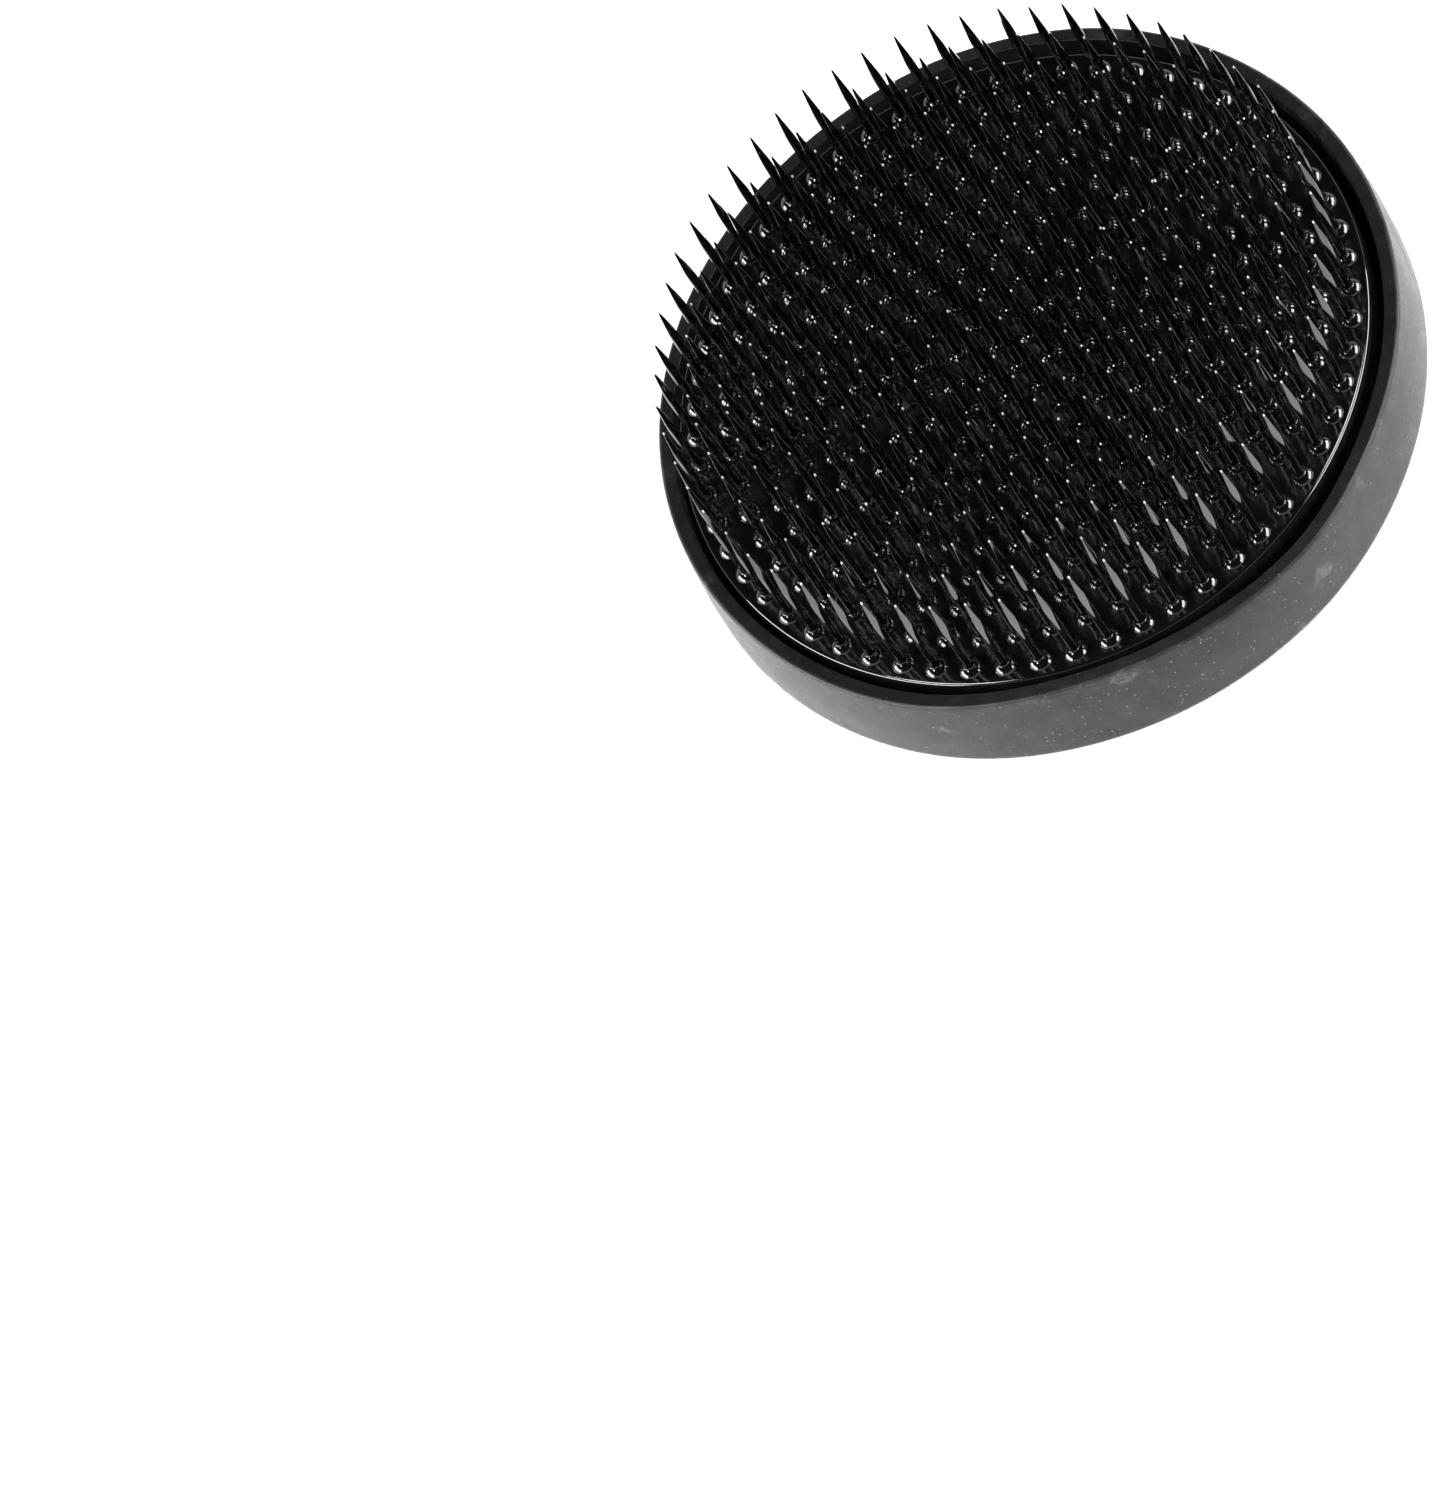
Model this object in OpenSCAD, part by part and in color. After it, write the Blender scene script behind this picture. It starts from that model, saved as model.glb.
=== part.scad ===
// Round flower frog: a cast disc of upright pins, resting loosely in a soft rubber ring.
// Millimetres, +Z up. The origin is the centre of the ring's underside.

/* [Disc] */
// Diameter of the cast disc
disc_d = 75; // [60:1:92]
// Thickness of the cast disc
disc_h = 9.2; // [7:0.1:13]
// Radius of the disc's rounded top edge
disc_edge_r = 0.5; // [0.2:0.1:0.8]
// Chamfer around the disc's lower edge
disc_chamfer = 0.6; // [0.2:0.1:1.2]

/* [Pins] */
// Number of rings of pins around the centre pin
ring_count = 10; // [6:1:11]
// From the axes of the outermost pins to the disc's side
pin_margin = 2.05; // [1.7:0.05:4]
// Height of the pins' tips above the disc
pin_h = 13.2; // [10:0.1:18]
// Diameter of a pin's round shaft
shaft_d = 1.0; // [0.8:0.05:1.2]
// Diameter of a pin at the widest place of its point
belly_d = 1.16; // [1:0.02:1.4]
// From the tip down to where the ridges of the point reach full width
point_l = 3.9; // [3:0.1:6]
// Width of the small flat at the very tip
tip_w = 0.1; // [0.06:0.02:0.2]
// Length of the swelling between the point and the round shaft
belly_l = 3.4; // [2:0.1:5]
// Depth of the pins in the disc
tang_l = 4; // [2:0.1:6]
// Turn of the whole pattern of pins, in degrees
pattern_turn = 42.4; // [0:0.1:59.9]

/* [Foot beads] */
// Diameter of the bead at a pin's foot
bead_d = 2.7; // [2:0.1:3.2]
// Height of the bead's dome above the disc
bead_h = 0.8; // [0.4:0.05:1.2]
// Height that the bead creeps up the pin above its dome
bead_creep = 0.45; // [0.1:0.05:0.8]
// Thickness of the bead's thin top edge around the pin
bead_lip = 0.06; // [0.04:0.01:0.15]

/* [Rubber ring] */
// Clearance between the disc's side and the ring
fit_gap = 1.05; // [0.3:0.05:2]
// Thickness of the ring's wall at its top
ring_wall = 1.65; // [1:0.05:3]
// How much further the wall stands out at its foot
ring_flare = 0.4; // [0:0.1:1.5]
// How far the disc's top stands above the ring's top
disc_stand = 0.1; // [0:0.1:1.5]
// Thickness of the lip under the disc
lip_t = 1.4; // [1:0.1:3]
// How far the lip reaches in under the disc's edge
lip_reach = 3; // [1.5:0.1:8]
// Chamfer on the ring's outer edges
ring_chamfer = 0.25; // [0.1:0.05:0.5]

/* [Hidden] */
pins_in_first_ring = 6;
bore_segments = 48;
turned_segments = 180;
arc_steps = 6;
bead_steps = 4;
cut_over = 0.2;
// Turn of the pins' round blanks, so that their seams miss the flats' middles and ridges
seam_turn = 20;

disc_r = disc_d / 2;
disc_top = lip_t + disc_h;
tip_z = disc_top + pin_h;
tang_z = disc_top - tang_l;
pin_circle_r = disc_r - pin_margin;
ring_pitch = pin_circle_r / ring_count;

shaft_r = shaft_d / 2;
belly_r = belly_d / 2;
// Each flat leans out by this much for each millimetre below the tip, so that
// the ridges between the flats reach the belly's radius at point_l.
flat_slope = (belly_r / sqrt(2) - tip_w / 2) / point_l;

seat_r = disc_r + fit_gap;
ring_top_r = seat_r + ring_wall;
ring_foot_r = ring_top_r + ring_flare;
ring_h = disc_top - disc_stand;
lip_inner_r = disc_r - lip_reach;

function two_digits(k) = str(k < 10 ? "0" : "", k);
function pins_name(k) = str("pins_ring_", two_digits(k));
function beads_name(k) = str("beads_ring_", two_digits(k));

// Children at each pin's place in ring k, which holds six more pins than the ring inside it
module at_pins(k) {
    count = pins_in_first_ring * k;
    for (i = [0 : count - 1])
        rotate(pattern_turn + 360 * i / count)
            translate([k * ring_pitch, 0, 0])
                rotate(-pattern_turn - 360 * i / count)
                    children();
}

// Children at every pin of the frog, the centre pin included
module at_all_pins() {
    children();
    for (k = [1 : ring_count])
        at_pins(k) children();
}

// Round blank of one pin: the shaft, then a slight belly, then straight past the tip
module pin_blank() {
    rotate(seam_turn)
        rotate_extrude($fn = bore_segments)
            polygon([
                [0, tang_z],
                [shaft_r, tang_z],
                [shaft_r, tip_z - point_l - belly_l],
                [belly_r, tip_z - point_l],
                [belly_r, tip_z + cut_over],
                [0, tip_z + cut_over]
            ]);
}

// Bar of wedge outline whose two sloping faces cut opposite flats of the point
module point_wedge() {
    tip_half = tip_w / 2;
    half_w = tip_half + flat_slope * (tip_z - tang_z + cut_over);
    translate([0, belly_d, 0])
        rotate([90, 0, 0])
            linear_extrude(2 * belly_d)
                polygon([
                    [-tip_half, tip_z],
                    [-half_w, tang_z - cut_over],
                    [half_w, tang_z - cut_over],
                    [tip_half, tip_z]
                ]);
}

// One pin with a four-sided point. The flats face along X and Y on every pin.
module pin() {
    intersection() {
        pin_blank();
        point_wedge();
        rotate(90) point_wedge();
    }
}

module pin_centre() {
    color([0.03, 0.03, 0.035]) pin();
}

module pin_ring(k) {
    color([0.03, 0.03, 0.035]) at_pins(k) pin();
}

// Drop around a pin's foot: a dome on the disc that creeps a little way up the shaft
module foot_bead() {
    bead_r = bead_d / 2;
    bead_top = disc_top + bead_h + bead_creep;
    dome = [
        for (i = [0 : bead_steps - 1])
            let (a = 90 * i / bead_steps)
                [shaft_r + (bead_r - shaft_r) * cos(a), disc_top + bead_h * sin(a)]
    ];
    rotate_extrude($fn = bore_segments)
        polygon(concat(
            [[shaft_r, disc_top]],
            dome,
            [[shaft_r + bead_lip, bead_top], [shaft_r, bead_top]]
        ));
}

module bead_centre() {
    color([0.05, 0.05, 0.055]) foot_bead();
}

module bead_ring(k) {
    color([0.05, 0.05, 0.055]) at_pins(k) foot_bead();
}

// Side and rounded top edge of the disc, as one turned profile
module disc_blank() {
    edge = [
        for (i = [0 : arc_steps])
            let (a = 90 * i / arc_steps)
                [disc_r - disc_edge_r * (1 - cos(a)), disc_top - disc_edge_r * (1 - sin(a))]
    ];
    rotate_extrude($fn = turned_segments)
        polygon(concat(
            [[0, lip_t], [disc_r - disc_chamfer, lip_t], [disc_r, lip_t + disc_chamfer]],
            edge,
            [[0, disc_top]]
        ));
}

// The disc, with a blind hole for each pin
module base_disc() {
    color([0.05, 0.05, 0.055])
        difference() {
            disc_blank();
            at_all_pins()
                translate([0, 0, tang_z])
                    cylinder(h = tang_l + cut_over, r = shaft_r, $fn = bore_segments);
        }
}

module rubber_ring() {
    color([0.22, 0.22, 0.23])
        rotate_extrude($fn = turned_segments)
            polygon([
                [lip_inner_r, 0],
                [ring_foot_r - ring_chamfer, 0],
                [ring_foot_r, ring_chamfer],
                [ring_top_r, ring_h - ring_chamfer],
                [ring_top_r - ring_chamfer, ring_h],
                [seat_r, ring_h],
                [seat_r, lip_t],
                [lip_inner_r, lip_t]
            ]);
}

rubber_ring();
base_disc();
pin_centre();
bead_centre();
for (k = [1 : ring_count])
    pin_ring(k);
for (k = [1 : ring_count])
    bead_ring(k);
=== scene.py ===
"""Looks for a round flower frog: a lacquered disc of pins lying loosely in a soft rubber ring.

Lengths are in metres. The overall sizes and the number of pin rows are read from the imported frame. Most
other sizes of the CAD model are repeated here. These small ones differ on purpose: the edges of the disc
and the ring, the pins' tips and the slopes of their flats. The ring's wall is wavy here, and round in the
CAD model.
"""
import math
import random

import bpy
from mathutils import Euler, Matrix, Vector


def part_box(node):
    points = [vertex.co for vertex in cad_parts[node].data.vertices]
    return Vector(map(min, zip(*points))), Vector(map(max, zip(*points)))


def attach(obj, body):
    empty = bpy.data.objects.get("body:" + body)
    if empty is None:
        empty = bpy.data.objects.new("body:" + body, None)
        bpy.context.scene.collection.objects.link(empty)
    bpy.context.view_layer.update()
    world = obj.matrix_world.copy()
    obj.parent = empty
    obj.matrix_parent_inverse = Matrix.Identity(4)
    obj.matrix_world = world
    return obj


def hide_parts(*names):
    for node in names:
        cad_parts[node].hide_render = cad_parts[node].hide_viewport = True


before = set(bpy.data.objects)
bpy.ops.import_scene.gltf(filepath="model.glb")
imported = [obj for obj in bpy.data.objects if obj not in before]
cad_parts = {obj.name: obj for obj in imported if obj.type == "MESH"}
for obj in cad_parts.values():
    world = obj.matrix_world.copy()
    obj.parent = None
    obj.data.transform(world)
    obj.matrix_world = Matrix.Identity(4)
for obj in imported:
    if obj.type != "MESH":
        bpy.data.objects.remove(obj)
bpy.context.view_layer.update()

MM = 0.001
SEED = 41

# --- sizes read from the frame ---
ring_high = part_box("rubber_ring")[1]
disc_low, disc_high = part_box("base_disc")
pin_low, pin_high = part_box("pin_centre")
bead_low, bead_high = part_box("bead_centre")
FOOT_R = ring_high.x
RING_TOP = ring_high.z
DISC_R = disc_high.x
DISC_TOP = disc_high.z
DISC_BOTTOM = disc_low.z
TIP_Z = pin_high.z
PIN_FOOT_Z = pin_low.z
BELLY_R = (pin_high.x - pin_low.x) / 2
BEAD_R = (bead_high.x - bead_low.x) / 2
BEAD_TOP = bead_high.z
ROWS = sum(1 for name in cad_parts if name.startswith("pins_ring_"))

# --- sizes that the frame's boxes don't give ---
SHAFT_R = 0.5 * MM
POINT_L = 3.9 * MM
BELLY_L = 3.4 * MM
PIN_MARGIN = 2.05 * MM
RING_GAP = 1.05 * MM
RING_WALL = 1.65 * MM
LIP_REACH = 3.0 * MM
DISC_EDGE = 0.4 * MM  # 0.5 mm in the CAD model
DISC_CHAMFER = 0.6 * MM
BEAD_DOME = 0.8 * MM
PATTERN_TURN = math.radians(42.4)
PITCH = (DISC_R - PIN_MARGIN) / ROWS


# --- mesh helpers ---
def add_piece(name, points, faces, materials, picks, body, nodes, sharp):
    """A mesh piece that rides on a body and stands for CAD nodes.

    picks holds the material index of each face. Edges that turn by more than sharp degrees stay sharp.
    """
    mesh = bpy.data.meshes.new(name)
    mesh.from_pydata(points, [], faces)
    for material in materials:
        mesh.materials.append(material)
    mesh.polygons.foreach_set("use_smooth", [True] * len(faces))
    mesh.polygons.foreach_set("material_index", picks)
    mesh.set_sharp_from_angle(angle=math.radians(sharp))
    mesh.update()
    piece = bpy.data.objects.new(name, mesh)
    bpy.context.scene.collection.objects.link(piece)
    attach(piece, body)
    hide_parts(*nodes)


def lathe(profile, sides, closed, place=None):
    """Points and faces of a profile of (radius, height) turned about Z.

    place(radius, height, angle) may move each point. A radius of 0 becomes a pole. A closed profile joins
    its last point to its first.
    """
    points = []
    rows = []
    for radius, height in profile:
        if radius == 0:
            rows.append([len(points)] * sides)
            points.append((0, 0, height))
            continue
        rows.append(list(range(len(points), len(points) + sides)))
        for i in range(sides):
            angle = 2 * math.pi * i / sides
            r, z = place(radius, height, angle) if place else (radius, height)
            points.append((r * math.cos(angle), r * math.sin(angle), z))
    faces = []
    pairs = list(zip(rows, rows[1:] + rows[:1])) if closed else list(zip(rows, rows[1:]))
    for low, high in pairs:
        for i in range(sides):
            j = (i + 1) % sides
            corners = []
            for index in (low[i], low[j], high[j], high[i]):
                if index not in corners:
                    corners.append(index)
            if len(corners) > 2:
                faces.append(corners)
    return points, faces


def arc(centre, radius, start, end, steps):
    """Points of an arc in a profile, with angles in degrees from the outward direction."""
    found = []
    for i in range(steps + 1):
        a = math.radians(start + (end - start) * i / steps)
        found.append((centre[0] + radius * math.cos(a), centre[1] + radius * math.sin(a)))
    return found


# --- materials ---
def new_material(name):
    material = bpy.data.materials.new(name)
    material.use_nodes = True
    tree = material.node_tree
    return material, tree, tree.nodes["Principled BSDF"]


def link_noise(tree, scale, detail=4.0, roughness=0.55):
    """A noise texture in the piece's own coordinates."""
    place = tree.nodes.new("ShaderNodeTexCoord")
    noise = tree.nodes.new("ShaderNodeTexNoise")
    noise.inputs["Scale"].default_value = scale
    noise.inputs["Detail"].default_value = detail
    noise.inputs["Roughness"].default_value = roughness
    tree.links.new(place.outputs["Object"], noise.inputs["Vector"])
    return noise.outputs["Fac"]


def ramp(tree, source, stops):
    """A colour ramp over a factor, with stops of (place, grey or colour)."""
    node = tree.nodes.new("ShaderNodeValToRGB")
    elements = node.color_ramp.elements
    while len(elements) < len(stops):
        elements.new(0.5)
    for element, (place, shade) in zip(elements, stops):
        element.position = place
        colour = shade if isinstance(shade, tuple) else (shade, shade, shade)
        element.color = (*colour, 1)
    tree.links.new(source, node.inputs["Fac"])
    return node.outputs["Color"]


def add_bump(tree, shader, height, strength, distance):
    bump = tree.nodes.new("ShaderNodeBump")
    bump.inputs["Strength"].default_value = strength
    bump.inputs["Distance"].default_value = distance
    tree.links.new(height, bump.inputs["Height"])
    tree.links.new(bump.outputs["Normal"], shader.inputs["Normal"])


def mix_colour(tree, factor, first, second):
    """The first colour where the factor is 0, and the second where it is 1."""
    node = tree.nodes.new("ShaderNodeMix")
    node.data_type = "RGBA"
    tree.links.new(factor, node.inputs["Factor"])
    for value, socket in ((first, node.inputs["A"]), (second, node.inputs["B"])):
        if isinstance(value, tuple):
            socket.default_value = (*value, 1)
        else:
            tree.links.new(value, socket)
    return node.outputs["Result"]


LACQUER_DARK = (0.0012, 0.0012, 0.0013)
LACQUER_LIGHT = (0.003, 0.003, 0.0033)
RIPPLE_DEPTH = 0.1 * MM


def lacquer(name, ripple_scale, ripple, smooth=0.035, rough=0.09, index=1.56):
    """Black lacquer that ripples a little. Its roughness varies between smooth and rough."""
    material, tree, shader = new_material(name)
    tone = ramp(tree, link_noise(tree, 420), [(0.3, LACQUER_DARK), (0.75, LACQUER_LIGHT)])
    tree.links.new(tone, shader.inputs["Base Color"])
    gloss = ramp(tree, link_noise(tree, 900), [(0.35, smooth), (0.7, rough)])
    tree.links.new(gloss, shader.inputs["Roughness"])
    shader.inputs["IOR"].default_value = index
    add_bump(tree, shader, link_noise(tree, ripple_scale, detail=2.0), ripple, RIPPLE_DEPTH)
    return material


def painted_highlight_metal(name, dark, light):
    """Grey, half-metallic paint for the pins' tips and the ridges of their points. Its light tone is a
    painted highlight: it stands in for the glints on the tips and the bright lines along the ridges.
    """
    material, tree, shader = new_material(name)
    tone = ramp(tree, link_noise(tree, 800), [(0.3, (dark, dark, dark)), (0.7, (light, light, light))])
    tree.links.new(tone, shader.inputs["Base Color"])
    shader.inputs["Metallic"].default_value = 0.5
    shader.inputs["Roughness"].default_value = 0.45
    return material


RUBBER_IOR = 1.27
GRAIN_DEPTH = 0.05 * MM


def rubber(name, dark, light, speck, sheen):
    """Matte rubber with a pale bloom, fine dust specks and faint scuffs, both in the speck's colour."""
    material, tree, shader = new_material(name)
    fine = link_noise(tree, scale=260, detail=12.0, roughness=0.8)
    bloom = ramp(tree, fine, [(0.36, dark), (0.64, light)])
    place = tree.nodes.new("ShaderNodeTexCoord")
    dust = tree.nodes.new("ShaderNodeTexVoronoi")
    dust.inputs["Scale"].default_value = 1500
    dust.inputs["Randomness"].default_value = 1.0
    tree.links.new(place.outputs["Object"], dust.inputs["Vector"])
    dots = ramp(tree, dust.outputs["Distance"], [(0.07, 1.0), (0.14, 0.0)])
    clouds = link_noise(tree, scale=330, detail=5.0, roughness=0.7)
    patches = ramp(tree, clouds, [(0.42, 0.0), (0.56, 1.0)])
    sparse = mix_colour(tree, patches, (0.0, 0.0, 0.0), dots)
    dusty = mix_colour(tree, sparse, bloom, speck)
    coarse = link_noise(tree, scale=130, detail=12.0, roughness=0.75)
    scuffs = ramp(tree, coarse, [(0.58, 0.0), (0.72, 0.35)])
    colour = mix_colour(tree, scuffs, dusty, speck)
    tree.links.new(colour, shader.inputs["Base Color"])
    rough = ramp(tree, link_noise(tree, 300), [(0.3, 0.22), (0.75, 0.36)])
    tree.links.new(rough, shader.inputs["Roughness"])
    shader.inputs["IOR"].default_value = RUBBER_IOR
    shader.inputs["Sheen Weight"].default_value = sheen
    shader.inputs["Sheen Roughness"].default_value = 0.35
    grain = link_noise(tree, scale=1600, detail=5.0, roughness=0.7)
    add_bump(tree, shader, grain, 0.35, GRAIN_DEPTH)
    return material


lacquer_disc = lacquer("lacquer_disc", ripple_scale=420, ripple=0.7, smooth=0.1, rough=0.22, index=1.29)
lacquer_side = lacquer("lacquer_side", ripple_scale=300, ripple=0.3, smooth=0.4, rough=0.6, index=1.5)
lacquer_bead = lacquer("lacquer_bead", ripple_scale=500, ripple=0.15)
lacquer_pin = lacquer("lacquer_pin", ripple_scale=500, ripple=0.05, smooth=0.03, rough=0.07, index=1.82)
# The pins' tips and the ridges of their points are painted lighter than the lacquer: painted highlights for
# the tips' glints and the ridges' bright lines.
pin_tip_highlight = painted_highlight_metal("pin_tip_highlight", dark=0.32, light=0.58)
pin_ridge_highlight = painted_highlight_metal("pin_ridge_highlight", dark=0.02, light=0.08)
rubber_wall = rubber(
    "rubber_wall",
    dark=(0.003, 0.003, 0.0032),
    light=(0.018, 0.018, 0.0183),
    speck=(0.32, 0.315, 0.3),
    sheen=0.33,
)
rubber_top = rubber(
    "rubber_top",
    dark=(0.006, 0.006, 0.0062),
    light=(0.011, 0.011, 0.0112),
    speck=(0.05, 0.05, 0.049),
    sheen=0.1,
)
rubber_worn = rubber(
    "rubber_worn",
    dark=(0.012, 0.012, 0.0122),
    light=(0.035, 0.035, 0.0355),
    speck=(0.16, 0.158, 0.15),
    sheen=0.2,
)

# --- rubber ring ---
# The soft wall isn't quite round. Each entry is where it leaves the circle, in degrees from +X,
# over how many degrees, and how far outwards at its top edge. A negative distance is inwards.
WAVES = (
    (291, 13, 0.64 * MM),
    (318, 34, 0.42 * MM),
    (252, 17, -0.50 * MM),
    (226, 16, 0.20 * MM),
    (188, 44, -0.36 * MM),
    (135, 34, -0.18 * MM),
    (50, 22, 0.58 * MM),
    (77, 14, 0.26 * MM),
    (5, 18, 0.08 * MM),
)
FOOT_SHARE = 0.25  # how much of a wave reaches the wall's foot
RING_SOFT = 0.34 * MM  # radius of the ring's outer edges. The inner top edge has half of it.
WALL_BULGE = 0.12 * MM
LIP_CHAMFER = 0.12 * MM
SEAT_FILLET = 0.15 * MM
# Points along each stretch of the ring's profile
UNDERSIDE_STEPS = 6
OUTER_EDGE_STEPS = 5
WALL_STEPS = 18
TOP_STEPS = 4
INNER_EDGE_STEPS = 4
SEAT_STEPS = 8
RING_SIDES = 720


def wave(angle):
    total = 0
    for where, spread, out in WAVES:
        away = (math.degrees(angle) - where + 180) % 360 - 180
        total += out * math.exp(-((away / spread) ** 2))
    return total


def bend_wall(radius, height, angle):
    """Carries a point of the ring along with its wavy wall. The foot and the lip stay nearly round."""
    lift = max(0.0, min(1.0, height / RING_TOP))
    share = FOOT_SHARE + (1 - FOOT_SHARE) * lift
    inner = DISC_R - LIP_REACH
    grip = max(0.0, min(1.0, (radius - inner) / (DISC_R + RING_GAP - inner)))
    return radius + wave(angle) * share * grip, height


def make_ring():
    seat = DISC_R + RING_GAP
    top = seat + RING_WALL
    lip = DISC_R - LIP_REACH
    lip_top = DISC_BOTTOM
    soft = RING_SOFT
    profile = [(lip, LIP_CHAMFER), (lip + LIP_CHAMFER, 0)]
    profile += [
        (lip + (FOOT_R - soft - lip) * i / UNDERSIDE_STEPS, 0)
        for i in range(1, UNDERSIDE_STEPS + 1)
    ]
    profile += arc((FOOT_R - soft, soft), soft, -90, 0, OUTER_EDGE_STEPS)
    for i in range(1, WALL_STEPS):
        t = i / WALL_STEPS
        bulge = WALL_BULGE * math.sin(math.pi * t)
        profile.append((FOOT_R + (top - FOOT_R) * t + bulge, soft + (RING_TOP - 2 * soft) * t))
    wall_end = len(profile)
    profile += arc((top - soft, RING_TOP - soft), soft, 0, 90, OUTER_EDGE_STEPS)
    top_start = len(profile) - 1
    inner_soft = soft * 0.5
    profile += [
        (seat + inner_soft + (top - seat - 1.5 * soft) * (1 - i / TOP_STEPS), RING_TOP)
        for i in range(1, TOP_STEPS)
    ]
    profile += arc((seat + inner_soft, RING_TOP - inner_soft), inner_soft, 90, 180, INNER_EDGE_STEPS)
    profile += [(seat, RING_TOP + (lip_top - RING_TOP) * i / SEAT_STEPS) for i in range(1, SEAT_STEPS)]
    profile += [(seat - SEAT_FILLET, lip_top), (lip + LIP_CHAMFER, lip_top), (lip, lip_top - LIP_CHAMFER)]
    points, faces = lathe(profile, RING_SIDES, closed=True, place=bend_wall)
    materials = [rubber_wall, rubber_top, rubber_worn]
    wall_pick, top_pick, worn_pick = range(3)
    # The wall's material also covers the underside, and the top's covers the inside and the lip.
    picks = []
    for row in range(len(profile)):
        pick = top_pick if row >= top_start else worn_pick if row >= wall_end else wall_pick
        picks += [pick] * RING_SIDES
    add_piece("soft_ring", points, faces, materials, picks, "ring", ["rubber_ring"], sharp=50)


# --- disc ---
EDGE_STEPS = 12
PLATE_STEPS = 40
DISC_SIDES = 480


def make_disc():
    profile = [(0, DISC_BOTTOM), (DISC_R - DISC_CHAMFER, DISC_BOTTOM), (DISC_R, DISC_BOTTOM + DISC_CHAMFER)]
    profile += [(DISC_R, DISC_TOP - 2 * DISC_EDGE)]
    side_end = len(profile)
    profile += arc((DISC_R - DISC_EDGE, DISC_TOP - DISC_EDGE), DISC_EDGE, 0, 90, EDGE_STEPS)
    profile += [((DISC_R - DISC_EDGE) * (1 - i / PLATE_STEPS), DISC_TOP) for i in range(1, PLATE_STEPS)]
    profile += [(0, DISC_TOP)]
    points, faces = lathe(profile, DISC_SIDES, closed=False)
    edge_end = side_end + EDGE_STEPS
    materials = [lacquer_disc, lacquer_side, lacquer_bead]
    plate_pick, side_pick, edge_pick = range(3)
    picks = []
    for row in range(len(profile) - 1):
        pick = side_pick if row < side_end else edge_pick if row < edge_end else plate_pick
        picks += [pick] * DISC_SIDES
    add_piece("lacquered_disc", points, faces, materials, picks, "frog", ["base_disc"], sharp=35)


# --- pins and beads ---
def row_places(row):
    """Centres of the pins in one row: the centre pin is row 0, and each row has six more than the last."""
    if row == 0:
        return [(0.0, 0.0)]
    count = 6 * row
    angles = [PATTERN_TURN + 2 * math.pi * i / count for i in range(count)]
    return [(row * PITCH * math.cos(a), row * PITCH * math.sin(a)) for a in angles]


def pin_radius(below_tip):
    """Radius of the round blank at a depth below the tip."""
    if below_tip <= POINT_L:
        return BELLY_R
    t = min(1.0, (below_tip - POINT_L) / BELLY_L)
    return BELLY_R + (SHAFT_R - BELLY_R) * t * t * (3 - 2 * t)


# Material indexes of the faces of pins and beads
LACQUER_PICK, TIP_PICK, RIDGE_PICK = range(3)
# Angles around a pin, closer together at the four ridges between its flats. The face between the steps
# of -4 and 4 degrees lies on the ridge.
RIDGE_STEPS = (-38, -26, -15, -9, -4, 4, 9, 15, 26, 38)
RIDGE_FACE = RIDGE_STEPS.index(-4)
PIN_ANGLES = [90 * quarter + 45 + step for quarter in range(4) for step in RIDGE_STEPS]
# Depths of a pin's cross sections, in millimetres below its tip
PIN_DEPTHS = [
    0, 0.03, 0.09, 0.3, 0.8, 1.5, 2.2, 2.8, 3.2, 3.5, 3.75, 3.95, 4.15,
    4.35, 4.6, 4.85, 5.1, 5.35, 5.6, 5.85, 6.2, 6.8, 7.3, 8.5, 10.5,
]
TIP_HALF = 0.075 * MM  # 0.05 mm in the CAD model
TIP_ROUND = 0.1 * MM  # depth over which the tip is rounded off
TIP_START = 0.01 * MM  # keeps the topmost section from closing to a point
RIDGE_POWER = 10  # the higher, the sharper the ridges
# Depths below the tip that carry the painted highlights: the tip's glint, and the bright lines along the
# ridges.
TIP_HIGHLIGHT_DEPTH = 0.2 * MM
RIDGE_HIGHLIGHT_DEPTH = 3.6 * MM
FACING_LEAST = 0.05  # a flat cuts only in directions whose cosine to its own is above this
# How the pins differ from one another. A spread is a standard deviation.
TURN_SPREAD = 3.0  # degrees about the pin's axis
LEAN_SPREAD = 0.010  # slope along X and along Y
LOSS_SPREAD = 0.16 * MM  # of height
LOSS_MOST = 0.9 * MM
FLAT_RANGE = (1.02, 1.2)  # steepness of the flats. 1 brings the ridges to the belly's radius at POINT_L.


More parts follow.
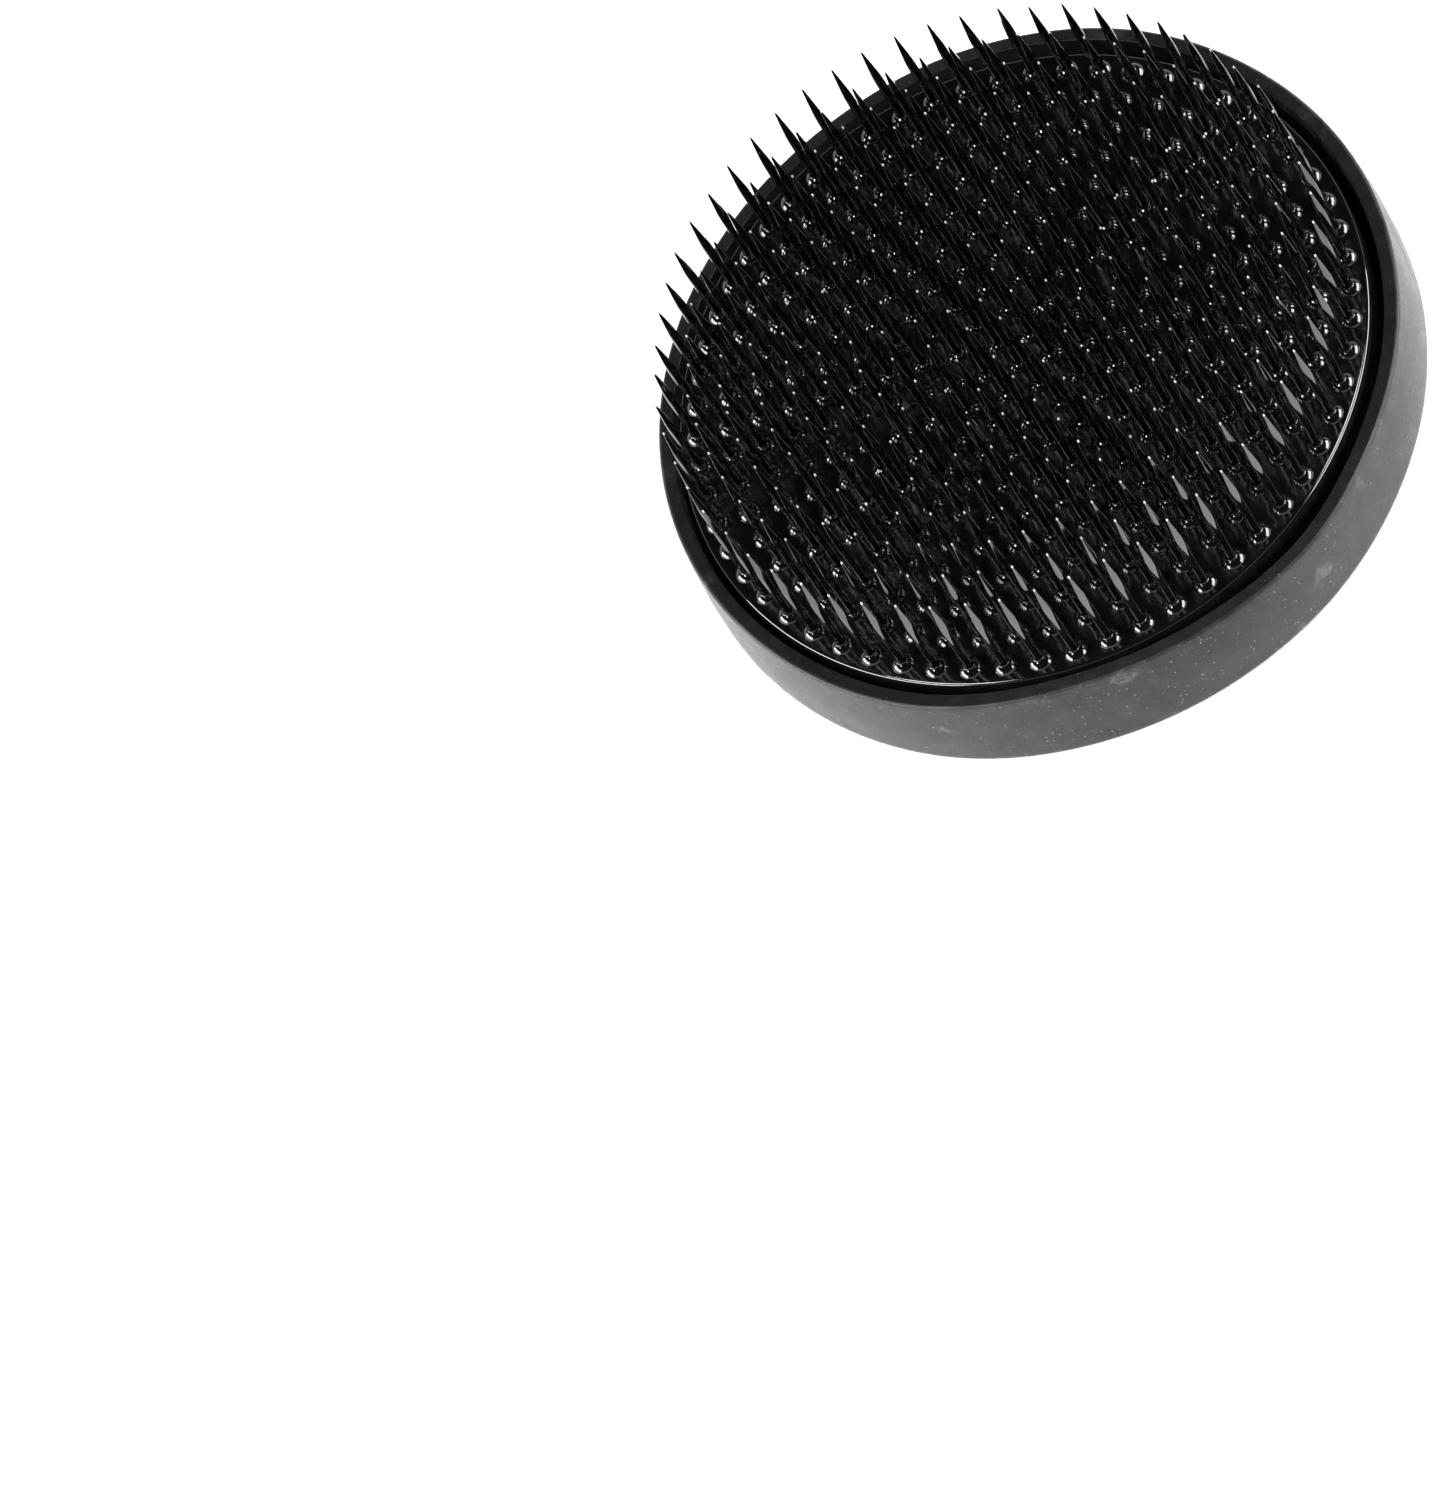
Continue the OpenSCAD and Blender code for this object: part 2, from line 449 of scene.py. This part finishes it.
def pin_mesh(rng, points, faces, picks, x, y):
    """One pin: a round blank cut by four flats, with softened ridges and a blunt tip."""
    twist = math.radians(rng.gauss(0, TURN_SPREAD))
    lean_x = rng.gauss(0, LEAN_SPREAD)
    lean_y = rng.gauss(0, LEAN_SPREAD)
    shorter = min(LOSS_MOST, abs(rng.gauss(0, LOSS_SPREAD)))
    slope = (BELLY_R / math.sqrt(2) - TIP_HALF) / POINT_L
    slopes = [slope * rng.uniform(*FLAT_RANGE) for _ in range(4)]
    depths = [d * MM for d in PIN_DEPTHS] + [TIP_Z - PIN_FOOT_Z - shorter]
    sides = len(PIN_ANGLES)
    first = len(points)
    for depth in depths:
        blank = pin_radius(depth)
        height = TIP_Z - shorter - depth
        rise = max(0.0, height - DISC_TOP)
        rounding = min(1.0, (depth + TIP_START) / TIP_ROUND) ** 0.5
        for angle in PIN_ANGLES:
            a = math.radians(angle)
            total = (1 / blank) ** RIDGE_POWER
            for flat in range(4):
                facing = math.cos(a - flat * math.pi / 2)
                if facing > FACING_LEAST:
                    total += (facing / (TIP_HALF * rounding + slopes[flat] * depth)) ** RIDGE_POWER
            reach = total ** (-1 / RIDGE_POWER)
            px = reach * math.cos(a + twist)
            py = reach * math.sin(a + twist)
            points.append((x + px + lean_x * rise, y + py + lean_y * rise, height))
    for row in range(len(depths) - 1):
        for i in range(sides):
            j = (i + 1) % sides
            upper, lower = first + row * sides, first + (row + 1) * sides
            faces.append([upper + i, lower + i, lower + j, upper + j])
            on_ridge = i % len(RIDGE_STEPS) == RIDGE_FACE
            # Faces near the tip and on the upper ridges get the painted-highlight materials.
            if depths[row] < TIP_HIGHLIGHT_DEPTH:
                picks.append(TIP_PICK)
            else:
                picks.append(RIDGE_PICK if on_ridge and depths[row] < RIDGE_HIGHLIGHT_DEPTH else LACQUER_PICK)
    faces.append([first + i for i in range(sides)])
    last = first + (len(depths) - 1) * sides
    faces.append([last + i for i in reversed(range(sides))])
    picks += [TIP_PICK, LACQUER_PICK]


BEAD_SIDES = 40
BALL_STEPS = 10
CREEP_STEPS = 6
BEAD_SINK = 0.02 * MM  # how far a bead's rim dips below the plate
SHOULDER = 1.3  # where the ball ends and the creep up the shaft begins, in shaft radii
CREEP_END = 0.98  # where the creep ends, in shaft radii
CREEP_POWER = 1.6
# Ranges of a bead's radius and dome against the CAD model's, and the most that it is squashed to an oval
RADIUS_RANGE = (0.94, 1.0)
DOME_RANGE = (0.88, 1.0)
OVAL_MOST = 0.04


def bead_profile(radius, dome):
    """The cap of a ball that creeps up the shaft, from its rim to its top."""
    ball = (radius ** 2 + dome ** 2) / (2 * dome)
    centre_z = DISC_TOP + dome - ball
    rim_angle = math.degrees(math.acos(radius / ball))
    shoulder = SHAFT_R * SHOULDER
    top_angle = math.degrees(math.acos(shoulder / ball))
    found = [(radius, DISC_TOP - BEAD_SINK)]
    found += arc((0, centre_z), ball, rim_angle, top_angle, BALL_STEPS)
    shoulder_z = found[-1][1]
    for i in range(1, CREEP_STEPS + 1):
        t = i / CREEP_STEPS
        reach = SHAFT_R * CREEP_END + (shoulder - SHAFT_R * CREEP_END) * (1 - t) ** 2
        found.append((reach, shoulder_z + (BEAD_TOP - shoulder_z) * t ** CREEP_POWER))
    return found


def bead_mesh(rng, points, faces, picks, x, y):
    """One bead: its profile turned about the pin, squashed a little to an oval."""
    radius = BEAD_R * rng.uniform(*RADIUS_RANGE)
    dome = BEAD_DOME * rng.uniform(*DOME_RANGE)
    oval = rng.uniform(0, OVAL_MOST)
    turn = rng.uniform(0, math.pi)
    first = len(points)
    profile = bead_profile(radius, dome)
    for r, z in profile:
        for i in range(BEAD_SIDES):
            a = 2 * math.pi * i / BEAD_SIDES
            reach = r * (1 - oval * math.cos(a - turn) ** 2 * (r / radius) ** 2)
            points.append((x + reach * math.cos(a), y + reach * math.sin(a), z))
    for row in range(len(profile) - 1):
        for i in range(BEAD_SIDES):
            j = (i + 1) % BEAD_SIDES
            low, high = first + row * BEAD_SIDES, first + (row + 1) * BEAD_SIDES
            faces.append([low + i, low + j, high + j, high + i])
            picks.append(LACQUER_PICK)
    last = first + (len(profile) - 1) * BEAD_SIDES
    faces.append([last + i for i in range(BEAD_SIDES)])
    faces.append([first + i for i in reversed(range(BEAD_SIDES))])
    picks += [LACQUER_PICK, LACQUER_PICK]


def make_row(row):
    """The pins of one row and the beads at their feet, as two pieces."""
    tag = "centre" if row == 0 else f"ring_{row:02d}"
    pin_node = "pin_centre" if row == 0 else f"pins_{tag}"
    bead_node = "bead_centre" if row == 0 else f"beads_{tag}"
    for kind, build, node, materials in (
        ("pins", pin_mesh, pin_node, [lacquer_pin, pin_tip_highlight, pin_ridge_highlight]),
        ("beads", bead_mesh, bead_node, [lacquer_bead]),
    ):
        # Each piece has a seed of its own. The words pins and beads differ in length.
        rng = random.Random(SEED * 1000 + row * 10 + len(kind))
        points = []
        faces = []
        picks = []
        for x, y in row_places(row):
            build(rng, points, faces, picks, x, y)
        name = f"lacquered_{kind}_{tag}"
        add_piece(name, points, faces, materials, picks, "frog", [node], sharp=60)


make_ring()
make_disc()
for row in range(ROWS + 1):
    make_row(row)


# --- floor, light and camera ---
FLOOR_HALF = 6.0
FLOOR_GREY = 0.93
LIGHT_DISTANCE = 0.9
ROOM_LIGHT = 0.04
HORIZON_LIGHT = 1.4
# Sines of the elevations where the glow at the horizon starts to fade and where it has gone
GLOW_FADES = 0.24
GLOW_GONE = 0.36


def make_floor():
    half = FLOOR_HALF
    corners = [(-half, -half, 0), (half, -half, 0), (half, half, 0), (-half, half, 0)]
    mesh = bpy.data.meshes.new("floor")
    mesh.from_pydata(corners, [], [(0, 1, 2, 3)])
    material, _, shader = new_material("pale_floor")
    shader.inputs["Base Color"].default_value = (FLOOR_GREY, FLOOR_GREY, FLOOR_GREY, 1)
    shader.inputs["Roughness"].default_value = 0.8
    mesh.materials.append(material)
    floor = bpy.data.objects.new("floor", mesh)
    bpy.context.scene.collection.objects.link(floor)


def add_light(name, azimuth, elevation, width, height, radiance):
    """A softbox that faces the disc's centre. Azimuth 0 is in front, at -Y, and 90 is at +X."""
    a, e = math.radians(azimuth), math.radians(elevation)
    back = Vector((math.sin(a) * math.cos(e), -math.cos(a) * math.cos(e), math.sin(e)))
    data = bpy.data.lights.new(name, "AREA")
    data.shape = "RECTANGLE"
    data.size = width
    data.size_y = height
    data.energy = radiance * math.pi * width * height
    light = bpy.data.objects.new(name, data)
    light.location = back * LIGHT_DISTANCE + Vector((0, 0, DISC_TOP))
    light.rotation_euler = back.to_track_quat("Z", "Y").to_euler()
    bpy.context.scene.collection.objects.link(light)


def make_world():
    """A low glow all round the horizon, and a dark room above it."""
    world = bpy.data.worlds.new("studio")
    world.use_nodes = True
    tree = world.node_tree
    place = tree.nodes.new("ShaderNodeTexCoord")
    split = tree.nodes.new("ShaderNodeSeparateXYZ")
    tree.links.new(place.outputs["Generated"], split.inputs["Vector"])
    stops = [(0.0, HORIZON_LIGHT), (GLOW_FADES, HORIZON_LIGHT), (GLOW_GONE, ROOM_LIGHT)]
    glow = ramp(tree, split.outputs["Z"], stops)
    background = tree.nodes["Background"]
    tree.links.new(glow, background.inputs["Color"])
    background.inputs["Strength"].default_value = 1.0
    bpy.context.scene.world = world
    bpy.context.scene.view_settings.view_transform = "Standard"


# The camera stands in front, looks down at the rim's centre and is rolled. It is then turned
# a little left and down, so that the object stands at the upper right of the frame.
CAMERA_DOWN = 54.3
CAMERA_ROLL = 32.4
CAMERA_DISTANCE = 21.1 * DISC_R
CAMERA_LENS = 183.5
TURN_LEFT = 2.271
TURN_DOWN = 2.894


def make_camera():
    e = math.radians(CAMERA_DOWN)
    back = Vector((0, -math.cos(e), math.sin(e)))
    data = bpy.data.cameras.new("camera")
    data.lens = CAMERA_LENS
    data.clip_start = 0.01
    data.clip_end = 20
    camera = bpy.data.objects.new("camera", data)
    aim = back.to_track_quat("Z", "Y").to_matrix()
    roll = Matrix.Rotation(math.radians(-CAMERA_ROLL), 3, "Z")
    turn = Euler((math.radians(-TURN_DOWN), math.radians(TURN_LEFT), 0)).to_matrix()
    camera.rotation_euler = (aim @ roll @ turn).to_euler()
    camera.location = Vector((0, 0, RING_TOP)) + back * CAMERA_DISTANCE
    bpy.context.scene.collection.objects.link(camera)
    bpy.context.scene.camera = camera


make_floor()
for name, azimuth, elevation, width, height, radiance in (
    ("low_left", -86, 17, 0.95, 0.32, 17),
    ("low_right", 74, 20, 0.95, 0.32, 17),
    ("high_left", -80, 57, 0.34, 0.13, 36),
    ("high_right", 94, 61, 0.34, 0.13, 36),
):
    add_light(name, azimuth, elevation, width, height, radiance)
make_world()
make_camera()
